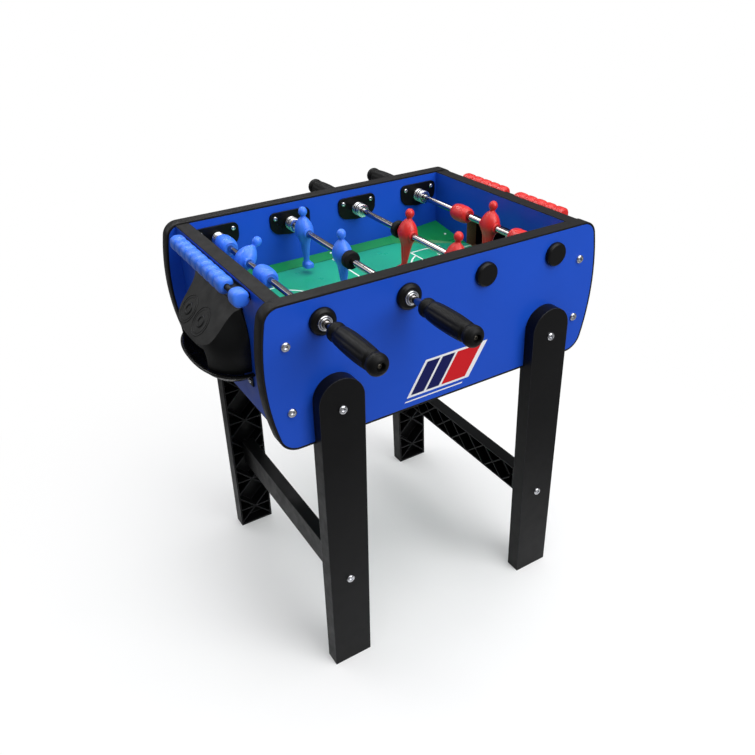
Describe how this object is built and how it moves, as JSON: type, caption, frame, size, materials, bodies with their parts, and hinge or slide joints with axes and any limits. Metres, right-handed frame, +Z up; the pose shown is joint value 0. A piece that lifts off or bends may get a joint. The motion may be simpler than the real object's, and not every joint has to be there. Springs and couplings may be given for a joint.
{
  "type": "table football game",
  "caption": "Free-standing table football game with telescopic rods, moulded legs, ball boxes and sliding score beads.",
  "frame": {"origin": "on the floor, under the middle of the table", "axes": "+X along the long side panels to the right, +Y from the front side panel to the rear one, parallel to the rods, +Z up"},
  "size_m": [0.738, 0.781, 0.7551],
  "materials": {
    "blue_panel": "satin blue melamine on fibreboard, raw brown edge inside the goal opening",
    "black_edging": "satin black plastic edging with rounded edges",
    "pitch": "printed green board with white pitch lines",
    "pitch_ramp": "moulded green plastic",
    "batten": "raw softwood",
    "black_moulded": "fine-grained black moulded plastic with a soft sheen",
    "black_box": "black moulded plastic with a satin top face",
    "black_bearing": "black nylon",
    "bright_steel": "bright zinc and chrome plate",
    "nut_steel": "zinc plated",
    "rod_chrome": "polished chrome, drawn along its length",
    "grip_rubber": "black moulded grip, satin",
    "bumper_rubber": "black rubber",
    "player_blue": "light blue moulded plastic",
    "player_red": "red moulded plastic"
  },
  "bodies": {
    "cabinet": {"front_side_panel": "blue_panel", "rear_side_panel": "blue_panel", "side_panel_edging": "black_edging", "left_end_panel": "blue_panel", "right_end_panel": "blue_panel", "end_panel_edging": "black_edging", "playfield": "pitch", "side_ramps": "pitch_ramp", "corner_ramps": "pitch_ramp", "playfield_battens": "batten", "front_left_leg": "black_moulded", "front_right_leg": "black_moulded", "rear_left_leg": "black_moulded", "rear_right_leg": "black_moulded", "left_cross_member": "black_moulded", "right_cross_member": "black_moulded", "leg_bolts": "bright_steel", "leg_nuts": "nut_steel", "end_panel_screws": "bright_steel", "front_bearing_plates": "black_bearing", "rear_bearing_plates": "black_bearing", "bearing_screws": "bright_steel", "handle_bushings": "black_bearing", "bushing_rings": "bright_steel", "axle_caps": "black_bearing", "front_springs": "bright_steel", "rear_springs": "bright_steel", "left_ball_hood": "black_box", "right_ball_hood": "black_box", "left_ball_tray": "black_box", "right_ball_tray": "black_box", "ball_box_screws": "bright_steel", "scorer_rails": "black_bearing", "left_rail_caps": "player_blue", "right_rail_caps": "player_red"},
    "goal_rod_blue_axle": {"goal_rod_blue_core": "rod_chrome"},
    "attack_rod_blue_axle": {"attack_rod_blue_core": "rod_chrome"},
    "attack_rod_red_axle": {"attack_rod_red_core": "rod_chrome"},
    "goal_rod_red_axle": {"goal_rod_red_core": "rod_chrome"},
    "goal_rod_blue": {"goal_rod_blue_tube": "rod_chrome", "goal_rod_blue_grip": "grip_rubber", "blue_keeper": "player_blue", "blue_keeper_stops": "player_blue"},
    "attack_rod_blue": {"attack_rod_blue_tube": "rod_chrome", "attack_rod_blue_grip": "grip_rubber", "blue_players": "player_blue", "blue_bumper": "bumper_rubber"},
    "attack_rod_red": {"attack_rod_red_tube": "rod_chrome", "attack_rod_red_grip": "grip_rubber", "red_players": "player_red", "red_bumper": "bumper_rubber"},
    "goal_rod_red": {"goal_rod_red_tube": "rod_chrome", "goal_rod_red_grip": "grip_rubber", "red_keeper": "player_red", "red_keeper_stops": "player_red"},
    "left_waiting": {"left_beads": "player_blue"},
    "right_waiting": {"right_beads_waiting": "player_red"},
    "right_scored": {"right_beads_scored": "player_red"}
  },
  "joints": [
    {"name": "goal_rod_blue_spin", "type": "hinge", "parent": "cabinet", "child": "goal_rod_blue_axle", "pos_m": [-0.225, 0, 0.708], "axis": [0, 1, 0], "range_deg": [-258, 15]},
    {"name": "goal_rod_blue_pull", "type": "slide", "parent": "goal_rod_blue_axle", "child": "goal_rod_blue", "axis": [0, -1, 0], "range_m": [0, 0.123]},
    {"name": "attack_rod_blue_spin", "type": "hinge", "parent": "cabinet", "child": "attack_rod_blue_axle", "pos_m": [-0.075, 0, 0.708], "axis": [0, 1, 0], "continuous": true},
    {"name": "attack_rod_blue_pull", "type": "slide", "parent": "attack_rod_blue_axle", "child": "attack_rod_blue", "axis": [0, -1, 0], "range_m": [-0.011, 0.118]},
    {"name": "attack_rod_red_spin", "type": "hinge", "parent": "cabinet", "child": "attack_rod_red_axle", "pos_m": [0.075, 0, 0.708], "axis": [0, -1, 0], "continuous": true},
    {"name": "attack_rod_red_pull", "type": "slide", "parent": "attack_rod_red_axle", "child": "attack_rod_red", "axis": [0, 1, 0], "range_m": [-0.005, 0.124]},
    {"name": "goal_rod_red_spin", "type": "hinge", "parent": "cabinet", "child": "goal_rod_red_axle", "pos_m": [0.225, 0, 0.708], "axis": [0, -1, 0], "range_deg": [-206, 67]},
    {"name": "goal_rod_red_pull", "type": "slide", "parent": "goal_rod_red_axle", "child": "goal_rod_red", "axis": [0, 1, 0], "range_m": [-0.011, 0.105]},
    {"name": "left_waiting_slide", "type": "slide", "parent": "cabinet", "child": "left_waiting", "axis": [0, -1, 0], "range_m": [0, 0.032]},
    {"name": "right_waiting_slide", "type": "slide", "parent": "cabinet", "child": "right_waiting", "axis": [0, 1, 0], "range_m": [0, 0.032]},
    {"name": "right_scored_slide", "type": "slide", "parent": "cabinet", "child": "right_scored", "axis": [0, 1, 0], "range_m": [-0.032, 0]}
  ]
}
